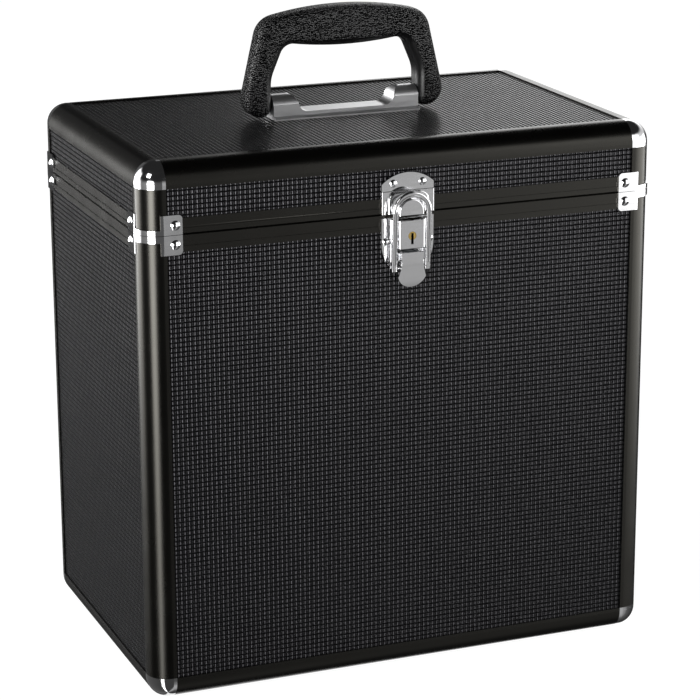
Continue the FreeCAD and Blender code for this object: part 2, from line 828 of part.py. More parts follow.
# Latch parts are drawn looking at the front: x to the right, y up from the parting, z outwards
def on_front(piece, x=ZERO, up=ZERO, proud=ZERO):
    """Puts a front part's own origin at a place on the case's front face."""
    return place(piece, x, front - proud, parting + up, X, Z)


def arch(half, foot, side, radius):
    """An outline with straight sides and a bowed top."""
    return [bend(-half, side, radius), line(-half, foot), line(half, foot), line(half, side)]


def long_edge(at_height):
    """A test for the edges that lie in a plane of a front part."""
    def test(edge):
        return all(near(vertex.Point.z, at_height) for vertex in edge.Vertexes)
    return test


def upright_edge(edge):
    """Says whether a straight edge stands off the front face."""
    first, last = edge.Vertexes[0].Point, edge.Vertexes[-1].Point
    return abs(first.x - last.x) < FIT_TOLERANCE and abs(first.y - last.y) < FIT_TOLERANCE


def skirt_rim(edge):
    """Says whether an edge bounds the strike skirt's face at its top or sides."""
    points = [vertex.Point for vertex in edge.Vertexes]
    on_face = all(near(point.z, s.latch_plate + s.skirt) for point in points)
    at_foot = all(near(point.y, s.strike_foot) for point in points)
    return on_face and not at_foot


strike = new_body("strike_blank")
pad(strike, "XY_Plane", [arch(s.strike_half, s.strike_foot, s.strike_side, s.strike_arch)], s.latch_plate)
skirt_face = s.latch_plate + s.skirt
pad(strike, "XY_Plane", [[
    line(-s.strike_half, s.strike_foot), line(s.strike_half, s.strike_foot),
    line(s.strike_half, s.skirt_top), line(-s.strike_half, s.skirt_top),
]], skirt_face)
round_edges(strike, s.skirt / 2, skirt_rim)
pedestal_side = s.pedestal_top - s.pedestal_corner
pedestal_inner = s.pedestal_half - s.pedestal_corner
pad(strike, "XY_Plane", [[
    line(-s.pedestal_half, s.strike_foot), line(s.pedestal_half, s.strike_foot),
    line(s.pedestal_half, pedestal_side), bend(pedestal_inner, s.pedestal_top, s.pedestal_corner),
    line(-pedestal_inner, s.pedestal_top), bend(-s.pedestal_half, pedestal_side, s.pedestal_corner),
]], skirt_face + s.pedestal)
round_edges(strike, s.pedestal / 2, long_edge(skirt_face + s.pedestal))
lean_rise = rise_over(s.bail_top + s.pivot_drop + s.lever_throw, s.bail_lean_angle)
hook_face = s.pivot_proud + lean_rise - s.bail_thick / 2 + s.hook_catch
hook_side = s.hook_top - s.hook_half
pad(strike, "XY_Plane", [[
    line(-s.hook_half, -s.hook_foot), line(s.hook_half, -s.hook_foot), line(s.hook_half, hook_side),
    bend(ZERO, s.hook_top, s.hook_half), bend(-s.hook_half, hook_side, s.hook_half),
]], hook_face - s.latch_plate, s.latch_plate, draft=s.hook_draft_angle)
round_edges(strike, s.hook_edge, long_edge(hook_face))
on_front(strike)
keep("strike_plate", cut("strike_drilled", strike, lid_holes))


keeper = new_body("keeper_blank")
keeper_foot = s.keeper_foot_half
pad(keeper, "XY_Plane", [[
    line(-s.keeper_half, -s.keeper_top), line(-s.keeper_half, -s.keeper_side),
    bend(-keeper_foot, -s.keeper_foot, s.keeper_curve), line(keeper_foot, -s.keeper_foot),
    bend(s.keeper_half, -s.keeper_side, s.keeper_curve), line(s.keeper_half, -s.keeper_top),
]], s.latch_plate)
pad(keeper, "XY_Plane", [[
    line(-s.platform_half, -s.platform_top), line(-s.platform_half, -s.platform_foot),
    line(s.platform_half, -s.platform_foot), line(s.platform_half, -s.platform_top),
]], s.latch_plate + s.platform)
round_edges(keeper, s.platform_edge, long_edge(s.latch_plate + s.platform))
ear_outer = s.cheek_half - s.cheek - s.ear_gap
ear_inner = ear_outer - s.ear
ear_low = -s.pivot_drop - s.ear_half_height
ear_high = -s.pivot_drop + s.ear_half_height
for inner in (ear_inner, -ear_outer):
    pad(keeper, "YZ_Plane", [[
        line(ear_low, s.latch_plate), line(ear_high, s.latch_plate), line(ear_high, s.pivot_proud),
        bend(-s.pivot_drop, s.pivot_proud + s.ear_half_height, s.ear_half_height),
        bend(ear_low, s.pivot_proud, s.ear_half_height),
    ]], s.ear, inner)
on_front(keeper)
pivot_y = front - s.pivot_proud
pivot_z = parting - s.pivot_drop
ear_bore = cylinder("ear_bore", s.pivot_pin + s.pivot_clearance, s.cheek_half * 2, -s.cheek_half,
                    pivot_y, pivot_z, X)
keep("latch_base_plate", cut("keeper_drilled", keeper, fused("keeper_cuts", [ear_bore, base_holes])))
keep("latch_pivot_pin", cylinder("latch_pin", s.pivot_pin, s.cheek_half * 2, -s.cheek_half,
                                 pivot_y, pivot_z, X))


housing = new_body("housing_blank")
plate_face = s.latch_plate + s.platform
pad(housing, "XY_Plane", [[
    line(-s.housing_half, -s.housing_top), line(-s.housing_half, -s.housing_foot),
    line(s.housing_half, -s.housing_foot), line(s.housing_half, -s.housing_top),
]], s.housing_face - plate_face, plate_face)
round_edges(housing, s.housing_edge, upright_edge)
round_edges(housing, s.housing_edge, long_edge(s.housing_face))
lock_bore = new_sketch(housing, "XY_Plane", [], s.housing_face)
draw_circle(lock_bore, ZERO, -s.lock_drop, s.lock_radius + s.lock_clearance)
bore_cut = housing.newObject("PartDesign::Pocket", "housing_bore")
bore_cut.Profile = lock_bore
bind(bore_cut, Length=s.lock_depth)
doc.recompute()
key_half = s.key_slot / 2
pocket(housing, "XY_Plane", [[
    line(-key_half, -s.lock_drop), line(-key_half, -s.lock_drop - s.key_tail),
    line(key_half, -s.lock_drop - s.key_tail), line(key_half, -s.lock_drop),
]], s.key_slot_depth, s.housing_face)
on_front(housing)
keep("lock_housing", housing)


lock_face = front - s.housing_face
lock_z = parting - s.lock_drop
plug = cylinder("lock_plug", s.lock_radius, s.lock_depth, ZERO, lock_face + s.lock_depth, lock_z, -Y)
key_way = box("lock_key_way", (-key_half, lock_face - s.overrun, lock_z - s.lock_radius - s.overrun),
              (key_half, lock_face + s.key_slot_depth, lock_z + s.key_slot_rise))
keep("lock_cylinder", cut("lock_slotted", plug, key_way))


# Lever: a bowed plate cut to its outline, with two cheeks for the pivot pin and the bail's pins
lever_mask = new_body("lever_outline")
pad(lever_mask, "XY_Plane", [[
    bend(s.lever_half, s.lever_top, -s.lever_waist_curve), line(-s.lever_half, s.lever_top),
    bend(-s.lever_flare_half, -s.lever_flare_drop, -s.lever_waist_curve),
    bend(ZERO, -s.lever_tip_drop, s.lever_tip_curve),
    bend(s.lever_flare_half, -s.lever_flare_drop, s.lever_tip_curve),
]], s.lever_front * 4, middle=True)
lever_strip = new_body("lever_strip")
plate_back = s.lever_front - s.lever_plate
bow_radius = tangent_radius(s.lever_tip_drop - s.lever_bend_drop, s.lever_tip_tuck)
pad(lever_strip, "YZ_Plane", [[
    bend(-s.lever_tip_drop, plate_back - s.lever_tip_tuck, bow_radius),
    line(-s.lever_tip_drop, s.lever_front - s.lever_tip_tuck),
    bend(-s.lever_bend_drop, s.lever_front, -(bow_radius + s.lever_plate)),
    line(s.lever_top, s.lever_front), line(s.lever_top, plate_back),
    line(-s.lever_bend_drop, plate_back),
]], s.lever_flare_half * 3, middle=True)
lever_face = doc.addObject("Part::Common", "lever_face")
lever_face.Base = lever_mask
lever_face.Tool = lever_strip
cheeks = []
for side, inner in (("right", s.cheek_half - s.cheek), ("left", -s.cheek_half)):
    cheek_body = new_body(f"cheek_{side}")
    low = -s.lever_throw - s.cheek_end
    pad(cheek_body, "YZ_Plane", [[
        line(low, s.lever_front - s.lever_plate / 2), line(low, s.cheek_corner - s.cheek_back),
        bend(low + s.cheek_corner, -s.cheek_back, s.cheek_corner),
        line(s.lever_top - s.cheek_corner, -s.cheek_back),
        bend(s.lever_top, s.cheek_corner - s.cheek_back, s.cheek_corner),
        line(s.lever_top, s.lever_front - s.lever_plate / 2),
    ]], s.cheek, inner)
    cheeks.append(cheek_body)
lever_solid = fused("lever_solid", [lever_face] + cheeks)
bore_end = s.cheek_half + s.overrun
lever_bores = fused("lever_bores", [
    cylinder("lever_pivot_bore", s.pivot_pin + s.pivot_clearance, bore_end * 2, -bore_end, ZERO, ZERO, X),
    cylinder("lever_bail_bore", s.bail_pin + s.pivot_clearance, bore_end * 2, -bore_end,
             -s.lever_throw, ZERO, X),
])
lever = cut("lever_drilled", lever_solid, lever_bores)
on_front(lever, ZERO, -s.pivot_drop, s.pivot_proud)
keep("latch_lever", lever)


# Bail: a round-edged loop with two inward pins, leaning out to the hook
bail_body = new_body("bail_loop")
pins_drop = s.pivot_drop + s.lever_throw
arch_y = s.bail_top + pins_drop - s.bail_half


def loop(outer, band, foot):
    """The outline of an upright loop with an arched top, of an even band width."""
    inner = outer - band
    return [
        line(-outer, foot), line(-inner, foot), line(-inner, arch_y), bend(ZERO, arch_y + inner, -inner),
        bend(inner, arch_y, -inner), line(inner, foot), line(outer, foot), line(outer, arch_y),
        bend(ZERO, arch_y + outer, outer), bend(-outer, arch_y, outer),
    ]


def loop_edge(edge):
    """Says whether an edge of the bail runs along its loop, on its front or back."""
    levels = [vertex.Point.z for vertex in edge.Vertexes]
    flat = abs(levels[0] - levels[-1]) < FIT_TOLERANCE
    at_heel = all(near(vertex.Point.y, -s.bail_heel) for vertex in edge.Vertexes)
    return flat and not at_heel


pad(bail_body, "XY_Plane", [loop(s.bail_half, s.bail_band, -s.bail_heel)], s.bail_thick, middle=True)
round_edges(bail_body, s.bail_edge, loop_edge)
groove = loop(s.bail_half - s.bail_groove_inset, s.bail_groove, s.bail_heel)
pocket(bail_body, "XY_Plane", [groove], s.bail_groove_depth, s.bail_thick / 2)
bail_pin_start = ear_outer + s.ear_gap
bail_pin_length = s.bail_half - s.bail_band / 2 - bail_pin_start
bail_pins = [cylinder(f"bail_pin_{side}", s.bail_pin, bail_pin_length, bail_pin_start * side, ZERO,
                      ZERO, X * side) for side in (-1, 1)]
bail = fused("bail_solid", [bail_body] + bail_pins)
lean = math.radians(s.bail_lean_angle.value)
place(bail, ZERO, pivot_y, parting - pins_drop, X, Vector(0, -math.sin(lean), math.cos(lean)))
keep("latch_bail", bail)


# Handle bracket: the lengthwise outline of two lugs and a channel, within the crosswise section
lid_board_face = s.case_height - s.lip
pivot_level = lid_board_face + s.pivot_height
side_view = new_body("bracket_side_view")
lug_end = s.bracket_half - s.lug
channel_end = lug_end - s.lug_slope
lug_run = s.lug_slope / 2
lug_fall = (s.bracket_height - s.channel_height) / 2
lug_curve = tangent_radius(lug_run, lug_fall)
lug_middle = channel_end + lug_run
lug_level = s.channel_height + lug_fall
pad(side_view, "XY_Plane", [[
    line(-s.bracket_half, ZERO), line(s.bracket_half, ZERO), line(s.bracket_half, s.bracket_height),
    line(lug_end, s.bracket_height), bend(lug_middle, lug_level, lug_curve),
    bend(channel_end, s.channel_height, -lug_curve), line(-channel_end, s.channel_height),
    bend(-lug_middle, lug_level, -lug_curve), bend(-lug_end, s.bracket_height, lug_curve),
    line(-s.bracket_half, s.bracket_height),
]], s.bracket_half_depth * 3, middle=True)
place(side_view, ZERO, ZERO, lid_board_face, X, Z)
end_view = new_body("bracket_end_view")
crown_curve = tangent_radius(s.bracket_wall_half, s.bracket_height - s.bracket_wall)
pad(end_view, "XY_Plane", [[
    line(-s.bracket_half_depth, ZERO), line(s.bracket_half_depth, ZERO),
    line(s.bracket_half_depth, s.bracket_edge), line(s.bracket_wall_half, s.bracket_shelf),
    line(s.bracket_wall_half, s.bracket_wall), bend(ZERO, s.bracket_height, crown_curve),
    bend(-s.bracket_wall_half, s.bracket_wall, crown_curve),
    line(-s.bracket_wall_half, s.bracket_shelf), line(-s.bracket_half_depth, s.bracket_edge),
]], s.bracket_half * 3, middle=True)
place(end_view, ZERO, ZERO, lid_board_face, Y, Z)
bracket = doc.addObject("Part::Common", "bracket_form")
bracket.Base = side_view
bracket.Tool = end_view


# Screws from inside the lid: countersunk in the stiffener, through the board, into the bracket
screw_half = s.bracket_half - s.screw_inset
stiffener_half = s.bracket_half + s.stiffener_reach


def screw_set(name, clearance):
    """The four screws, or their holes where a clearance is given."""
    low = lid_board_face - s.board - s.stiffener
    screws = []
    for side in (-1, 1):
        for end in (-1, 1):
            number = f"{name}_{len(screws)}"
            x, y = screw_half * side, s.screw_half_depth * end
            head = doc.addObject("Part::Cone", f"{number}_head")
            bind(head, Radius1=s.screw_head + clearance, Radius2=s.screw_radius + clearance,
                 Height=s.stiffener)
            place(head, x, y, low)
            length = s.stiffener + s.board + s.screw_reach + clearance
            shank = cylinder(f"{number}_shank", s.screw_radius + clearance, length, x, y, low)
            screws.append(fused(number, [head, shank]))
    return group(f"{name}_group", screws)


keep("handle_screws", screw_set("screw", ZERO))
screw_holes = screw_set("screw_hole", s.screw_clearance)
pin_bore_start = s.bracket_half - s.grip_pin_reach - s.grip_pin_clearance
pin_bore_length = s.grip_pin_reach + s.overrun
pin_bores = [cylinder(f"bracket_bore_{side}", s.grip_pin + s.grip_pin_clearance, pin_bore_length,
                      pin_bore_start * side, ZERO, pivot_level, X * side) for side in (-1, 1)]
keep("handle_bracket", cut("bracket_drilled", bracket, fused("bracket_cuts", pin_bores + [screw_holes])))
stiffener = box("stiffener_blank", (-stiffener_half, -s.stiffener_half_depth,
                                    lid_board_face - s.board - s.stiffener),
                (stiffener_half, s.stiffener_half_depth, lid_board_face - s.board))
keep("handle_stiffener", cut("stiffener_drilled", stiffener, screw_holes))
top_board = box("top_board_blank", (-seat_x, -seat_y, lid_board_face - s.board),
                (seat_x, seat_y, lid_board_face))
keep("lid_top_board", cut("top_board_drilled", top_board, screw_holes))


# Grip: a bowed bar and two splayed legs, rounded all over
grip = new_body("grip_form")
inner_half = s.bracket_half + s.grip_side_gap
shoulder_half = s.bracket_half + s.grip_shoulder_reach
foot_half = s.bracket_half + s.grip_foot_reach
window_half = s.bracket_half - s.grip_window_inset
crown = tangent_radius(shoulder_half, s.grip_height - s.grip_shoulder_height)
belly = tangent_radius(window_half, s.grip_window_height - s.grip_belly_height)
pad(grip, "XY_Plane", [[
    line(inner_half, s.grip_foot_lift), line(foot_half, s.grip_foot_lift),
    line(shoulder_half, s.grip_shoulder_height), bend(ZERO, s.grip_height, crown),
    bend(-shoulder_half, s.grip_shoulder_height, crown),
    line(-foot_half, s.grip_foot_lift), line(-inner_half, s.grip_foot_lift),
    line(-inner_half, s.grip_inner_height), line(-window_half, s.grip_window_height),
    bend(ZERO, s.grip_belly_height, belly), bend(window_half, s.grip_window_height, belly),
    line(inner_half, s.grip_inner_height),
]], s.grip_depth, middle=True)


def corner_at(half, height):
    """A test for the grip's corner edges at a distance from the middle and a height."""
    def test(edge):
        point = edge.Vertexes[0].Point
        return upright_edge(edge) and near(abs(point.x), half) and near(point.y, height)
    return test


round_edges(grip, s.grip_shoulder_curve, corner_at(shoulder_half, s.grip_shoulder_height))
round_edges(grip, s.grip_foot_curve, corner_at(foot_half, s.grip_foot_lift))
round_edges(grip, s.grip_heel_curve, corner_at(inner_half, s.grip_foot_lift))
round_edges(grip, s.grip_inner_curve, corner_at(inner_half, s.grip_inner_height))
round_edges(grip, s.grip_window_curve, corner_at(window_half, s.grip_window_height))


def face_rim(edge):
    """Says whether an edge bounds the grip's front or back face."""
    return all(near(abs(vertex.Point.z), s.grip_depth / 2) for vertex in edge.Vertexes)


round_edges(grip, s.grip_round, face_rim)
place(grip, ZERO, ZERO, lid_board_face, X, Z)
grip_pin_start = s.bracket_half - s.grip_pin_reach
grip_bores, grip_pins = [
    [cylinder(f"{name}_{side}", s.grip_pin, s.grip_pin_reach * 2, grip_pin_start * side, ZERO,
              pivot_level, X * side) for side in (-1, 1)]
    for name in ("grip_bore", "grip_pin")
]
keep("handle_grip", cut("grip_drilled", grip, fused("grip_cuts", grip_bores)))
keep("handle_pins", group("handle_pins_group", grip_pins))


# Checks and export
doc.recompute()
for item in doc.Objects:
    if "Invalid" in item.State or "Error" in item.State:
        failures.append(f"{item.Name}: {item.State}")
for name, piece in nodes.items():
    if piece.Shape.isNull() or not piece.Shape.isValid():
        failures.append(f"{name}: no valid shape")
if failures:
    raise RuntimeError("; ".join(failures))
os.makedirs("parts", exist_ok=True)
for name, piece in nodes.items():
    piece.Shape.exportStep(f"parts/{name}.step")
print(f"{len(nodes)} nodes written")
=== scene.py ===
import logging
import math
from collections.abc import Sequence
from dataclasses import dataclass
from enum import Enum

import bmesh
import bpy
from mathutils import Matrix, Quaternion, Vector


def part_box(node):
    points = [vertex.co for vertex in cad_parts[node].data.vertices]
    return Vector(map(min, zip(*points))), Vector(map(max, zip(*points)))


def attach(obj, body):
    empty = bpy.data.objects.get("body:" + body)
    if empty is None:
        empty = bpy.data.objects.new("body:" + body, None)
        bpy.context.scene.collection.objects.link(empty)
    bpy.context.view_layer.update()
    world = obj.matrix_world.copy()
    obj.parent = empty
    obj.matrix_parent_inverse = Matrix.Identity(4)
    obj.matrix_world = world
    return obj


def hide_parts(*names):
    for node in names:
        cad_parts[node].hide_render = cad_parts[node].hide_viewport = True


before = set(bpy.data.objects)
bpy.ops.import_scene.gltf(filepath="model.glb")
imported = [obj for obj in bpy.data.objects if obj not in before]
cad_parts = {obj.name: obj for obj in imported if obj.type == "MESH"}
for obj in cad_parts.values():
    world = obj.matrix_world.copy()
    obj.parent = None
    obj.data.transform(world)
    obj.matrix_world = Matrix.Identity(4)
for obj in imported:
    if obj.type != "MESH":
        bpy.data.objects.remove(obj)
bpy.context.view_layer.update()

MM = 0.001
log = logging.getLogger("record_case")

Value = float | tuple[float, ...] | bpy.types.NodeSocket
Point = tuple[float, float, float]
Span = tuple[float, float]
Levels = tuple[tuple[float, float], ...]

# How many times finer the lines of an extrusion are across its run than along it.
DRAWN_OUT = 60.0
# Radians that Blender's wave texture passes through in one unit, at a scale of one.
WAVE_RADIANS = 20


class Plane(Enum):
    """The two object axes that a flat board's pattern runs along."""

    UPRIGHT = ("X", "Z")
    SIDE = ("Y", "Z")
    LEVEL = ("X", "Y")


class Run(Enum):
    """The axis that an extrusion was drawn along."""

    X = (1.0, DRAWN_OUT, DRAWN_OUT)
    Y = (DRAWN_OUT, 1.0, DRAWN_OUT)
    Z = (DRAWN_OUT, DRAWN_OUT, 1.0)


def colour(code: str) -> tuple[float, float, float, float]:
    """Turns an sRGB hex value to linear colour.

    Args:
        code: Six hex digits after a number sign.

    Returns:
        Red, green, blue and an alpha of one.
    """
    # The numbers are those of the sRGB curve: a straight foot, then a power.
    parts = [int(code[place:place + 2], 16) / 255 for place in (1, 3, 5)]
    linear = [part / 12.92 if part <= 0.04045 else ((part + 0.055) / 1.055) ** 2.4 for part in parts]
    return (*linear, 1.0)


def add(tree: bpy.types.NodeTree, kind: str, inputs: dict[str | int, Value] | None = None,
        **settings: object) -> bpy.types.Node:
    """Adds a node with its settings, values and links.

    Args:
        tree: The tree that takes the node.
        kind: The node's type, without its ShaderNode prefix.
        inputs: Values or output sockets, by the name or number of the input.
        settings: The node's own properties.

    Returns:
        The new node.
    """
    node = tree.nodes.new(f"ShaderNode{kind}")
    for name, setting in settings.items():
        setattr(node, name, setting)
    for name, value in (inputs or {}).items():
        if isinstance(value, bpy.types.NodeSocket):
            tree.links.new(value, node.inputs[name])
        else:
            node.inputs[name].default_value = value
    return node


def new_material(name: str) -> tuple[bpy.types.Material, bpy.types.NodeTree]:
    """Makes a material with an empty node tree.

    Args:
        name: The material's name.

    Returns:
        The material and its tree.
    """
    material = bpy.data.materials.new(name)
    material.use_nodes = True
    material.node_tree.nodes.clear()
    return material, material.node_tree


def finish_surface(tree: bpy.types.NodeTree, inputs: dict[str | int, Value]) -> None:
    """Ends a tree with a Principled shader.

    Args:
        tree: The material's tree.
        inputs: Values or sockets for the shader.
    """
    shader = add(tree, "BsdfPrincipled", inputs)
    add(tree, "OutputMaterial", {"Surface": shader.outputs["BSDF"]})


def leaning_normal(tree: bpy.types.NodeTree, source: bpy.types.Node,
                   lean: bpy.types.NodeSocket) -> bpy.types.NodeSocket:
    """Tilts the surface's normal by a vector along the object's axes.

    Args:
        tree: The material's tree.
        source: The texture coordinate node.
        lean: The vector that is added to the object's normal.

    Returns:
        The socket that carries the tilted normal.
    """
    tilted = add(tree, "VectorMath", {0: source.outputs["Normal"], 1: lean}, operation="ADD")
    return add(tree, "VectorTransform", {"Vector": tilted.outputs[0]}, vector_type="NORMAL",
               convert_from="OBJECT", convert_to="WORLD").outputs[0]


@dataclass(frozen=True)
class Shoulder:
    """One side of a pad: where it starts and ends in its cell, and how far it leans."""

    foot: float
    crest: float
    lean: float


@dataclass(frozen=True)
class EmbossedFilm:
    """Black plastic film bonded to fibreboard and pressed between rollers into small raised pads.

    The eye sees a tight grid of pads, each with a soft glint on its left shoulder, and dark gaps; the
    gaps' darkness is painted shade, in their colour and their lower gloss.
    """

    plane: Plane
    pitch: float = 3.15 * MM
    shoulders: tuple[tuple[Shoulder, Shoulder], tuple[Shoulder, Shoulder]] = (
        (Shoulder(0.04, 0.45, -0.60), Shoulder(0.96, 0.85, 1.60)),
        (Shoulder(0.06, 0.20, -1.00), Shoulder(0.94, 0.80, 1.00)),
    )
    pad_colour: str = "#09090c"
    # Painted shade: the gaps between pads take a darker colour than the pads.
    gap_shade_colour: str = "#030304"
    pad_roughness: float = 0.17
    gap_roughness: float = 0.70
    # Painted shade: the gloss in the gaps is dimmed.
    gap_shade_specular: float = 0.08
    pad_specular: float = 0.50
    shine_tint: str = "#f7f5fa"
    # Height from which a pad shines in full, where its crown is 1; below it the gloss dims towards the
    # gaps as painted shade.
    shine_height: float = 0.40
    # Height times the rest up to the crown, from which a shoulder leans in full.
    full_lean: float = 0.10
    patch_size: float = 40 * MM
    patch_roughness: float = 0.08
    ior: float = 1.5

    def build(self) -> bpy.types.Material:
        """Makes the finish for boards that lie in this plane.

        Returns:
            The material.
        """
        material, tree = new_material(f"embossed_film_{self.plane.name.lower()}")
        source = add(tree, "TexCoord")
        axes = add(tree, "SeparateXYZ", {"Vector": source.outputs["Object"]})
        (first, first_lean), (second, second_lean) = (
            self._pad(tree, axes.outputs[axis], *pair)
            for axis, pair in zip(self.plane.value, self.shoulders))
        pad = add(tree, "Math", {0: first, 1: second}, operation="MULTIPLY").outputs[0]
        leans = [add(tree, "Math", {0: lean, 1: other}, operation="MULTIPLY").outputs[0]
                 for lean, other in ((first_lean, second), (second_lean, first))]
        lean = add(tree, "CombineXYZ", dict(zip(self.plane.value, leans)))
        patches = add(tree, "TexNoise", {"Vector": source.outputs["Object"],
                                         "Scale": 1 / self.patch_size, "Detail": 2.0})
        # Painted shade: the gaps are coloured darker than the pads.
        tint = add(tree, "Mix", {0: pad, "A": colour(self.gap_shade_colour), "B": colour(self.pad_colour)},
                   data_type="RGBA")
        rough = add(tree, "MapRange", {"Value": pad, "To Min": self.gap_roughness,
                                       "To Max": self.pad_roughness})
        uneven = add(tree, "Math", {0: patches.outputs["Fac"], 1: self.patch_roughness,
                                    2: rough.outputs[0]}, operation="MULTIPLY_ADD")
        # Painted shade: the gloss falls from the pads into the gaps.
        shade_dimmed_shine = add(tree, "MapRange", {"Value": pad, "From Max": self.shine_height,
                                       "To Min": self.gap_shade_specular, "To Max": self.pad_specular})
        finish_surface(tree, {
            "Base Color": tint.outputs["Result"], "Roughness": uneven.outputs[0],
            "Specular IOR Level": shade_dimmed_shine.outputs[0], "Specular Tint": colour(self.shine_tint),
            "IOR": self.ior, "Normal": leaning_normal(tree, source, lean.outputs[0]),
        })
        return material

    def _pad(self, tree: bpy.types.NodeTree, along: bpy.types.NodeSocket, near: Shoulder,
             far: Shoulder) -> tuple[bpy.types.NodeSocket, bpy.types.NodeSocket]:
        """Form of the pads along one axis.

        Args:
            tree: The material's tree.
            along: The coordinate on that axis, in metres.
            near: The shoulder on the lower side.
            far: The shoulder on the upper side.

        Returns:
            The height, from 0 in a gap to 1 on a crown, and the lean of the shoulders.
        """
        cells = add(tree, "Math", {0: along, 1: self.pitch}, operation="DIVIDE")
        part = add(tree, "Math", {0: cells.outputs[0]}, operation="FRACT")
        heights, leans = [], []
        for side in (near, far):
            height = add(tree, "MapRange", {"Value": part.outputs[0], "From Min": side.foot,
                                            "From Max": side.crest},
                         interpolation_type="SMOOTHSTEP").outputs[0]
            rest = add(tree, "Math", {0: 1.0, 1: height}, operation="SUBTRACT")
            bell = add(tree, "Math", {0: height, 1: rest.outputs[0]}, operation="MULTIPLY")
            heights.append(height)
            leans.append(add(tree, "MapRange", {"Value": bell.outputs[0], "From Max": self.full_lean,
                                                "To Max": side.lean}).outputs[0])
        height = add(tree, "Math", dict(enumerate(heights)), operation="MULTIPLY")
        lean = add(tree, "Math", dict(enumerate(leans)), operation="ADD")
        return height.outputs[0], lean.outputs[0]


@dataclass(frozen=True)
class AnodisedAluminium:
    """Aluminium drawn through a die, etched and dyed black.

    The eye sees a satin warm-grey sheen and very fine lines along the run.
    """

    run: Run
    tint: str = "#3a3936"
    roughness: float = 0.26
    # The die's lines are finer; they are drawn coarser so that they show.
    line_spacing: float = 1.2 * MM
    line_depth: float = 0.006 * MM
    line_strength: float = 0.6
    cloud_size: float = 25 * MM
    cloud_roughness: Span = (-0.04, 0.05)

    def build(self) -> bpy.types.Material:
        """Makes the finish for extrusions that run along this axis.

        Returns:
            The material.
        """
        material, tree = new_material(f"black_anodised_aluminium_{self.run.name.lower()}")
        coordinates = add(tree, "TexCoord").outputs["Object"]
        stretched = add(tree, "Mapping", {"Vector": coordinates, "Scale": self.run.value})
        lines = add(tree, "TexNoise", {"Vector": stretched.outputs[0],
                                       "Scale": 1 / (DRAWN_OUT * self.line_spacing), "Detail": 3.0})
        clouds = add(tree, "TexNoise", {"Vector": coordinates, "Scale": 1 / self.cloud_size,
                                        "Detail": 3.0})
        smoothest, roughest = (self.roughness + change for change in self.cloud_roughness)
        rough = add(tree, "MapRange", {"Value": clouds.outputs["Fac"], "To Min": smoothest,
                                       "To Max": roughest})
        bump = add(tree, "Bump", {"Strength": self.line_strength, "Distance": self.line_depth,
                                  "Height": lines.outputs["Fac"]})
        finish_surface(tree, {
            "Base Color": colour(self.tint), "Metallic": 1.0, "Roughness": rough.outputs[0],
            "Normal": bump.outputs["Normal"],
        })
        return material


@dataclass(frozen=True)
class BrightChrome:
    """Bright chrome over nickel on pressed steel.

    The eye sees clean mirror reflections that waver a little, and a few fine handling scratches.
    """

    name: str = "bright_chrome_on_steel"
    tint: str = "#e9e9ea"
    roughness: float = 0.05
    waver: float = 0.05 * MM
    waver_size: float = 9 * MM
    waver_strength: float = 0.35
    # Real scratches are finer; they are drawn coarser so that they show.
    scratch_spacing: float = 1.5 * MM
    scratch_length: float = 12.0
    scratch_turn: Point = (0.4, 0.7, 0.3)
    scratch_share: Span = (0.35, 0.75)
    scratch_roughness: float = 0.10
    slot: Point | None = None
    slot_depth: float = 0.2 * MM
    # Painted shade inside the key slot, past the slot depth behind the face.
    slot_shade_tint: str = "#08080a"

    def build(self) -> bpy.types.Material:
        """Makes the finish for the plated fittings.

        Returns:
            The material.
        """
        material, tree = new_material(self.name)
        coordinates = add(tree, "TexCoord").outputs["Object"]
        waves = add(tree, "TexNoise", {"Vector": coordinates, "Scale": 1 / self.waver_size,
                                       "Detail": 1.0})
        length = self.scratch_length
        stretched = add(tree, "Mapping", {"Vector": coordinates, "Rotation": self.scratch_turn,
                                          "Scale": (1.0, length, length)})
        scratches = add(tree, "TexNoise", {"Vector": stretched.outputs[0], "Detail": 4.0,
                                           "Scale": 1 / (length * self.scratch_spacing)})
        least, most = self.scratch_share
        rough = add(tree, "MapRange", {"Value": scratches.outputs["Fac"], "From Min": least,
                                       "From Max": most, "To Min": self.roughness,
                                       "To Max": self.roughness + self.scratch_roughness})
        bump = add(tree, "Bump", {"Strength": self.waver_strength, "Distance": self.waver,
                                  "Height": waves.outputs["Fac"]})
        finish_surface(tree, {
            "Base Color": self._tone(tree, coordinates), "Metallic": 1.0,
            "Roughness": rough.outputs[0], "Normal": bump.outputs["Normal"],
        })
        return material

    def _tone(self, tree: bpy.types.NodeTree, coordinates: bpy.types.NodeSocket) -> Value:
        """Colour of the plating, with painted shade in the key slot where one is named.

        Args:
            tree: The material's tree.
            coordinates: The object's coordinates.

        Returns:
            The plain tint, or the socket that carries the tone.
        """
        if self.slot is None:
            return colour(self.tint)
        middle, half_width, face = self.slot
        axes = add(tree, "SeparateXYZ", {"Vector": coordinates})
        aside = add(tree, "Math", {0: axes.outputs["X"], 1: middle, 2: half_width}, operation="COMPARE")
        depth = add(tree, "MapRange", {"Value": axes.outputs["Y"], "From Min": face,
                                       "From Max": face + self.slot_depth})
        # Painted shade: inside the key slot the plating turns near black.
        slot_shade = add(tree, "Math", {0: aside.outputs[0], 1: depth.outputs[0]}, operation="MULTIPLY")
        return add(tree, "Mix", {0: slot_shade.outputs[0], "A": colour(self.tint),
                                 "B": colour(self.slot_shade_tint)}, data_type="RGBA").outputs["Result"]


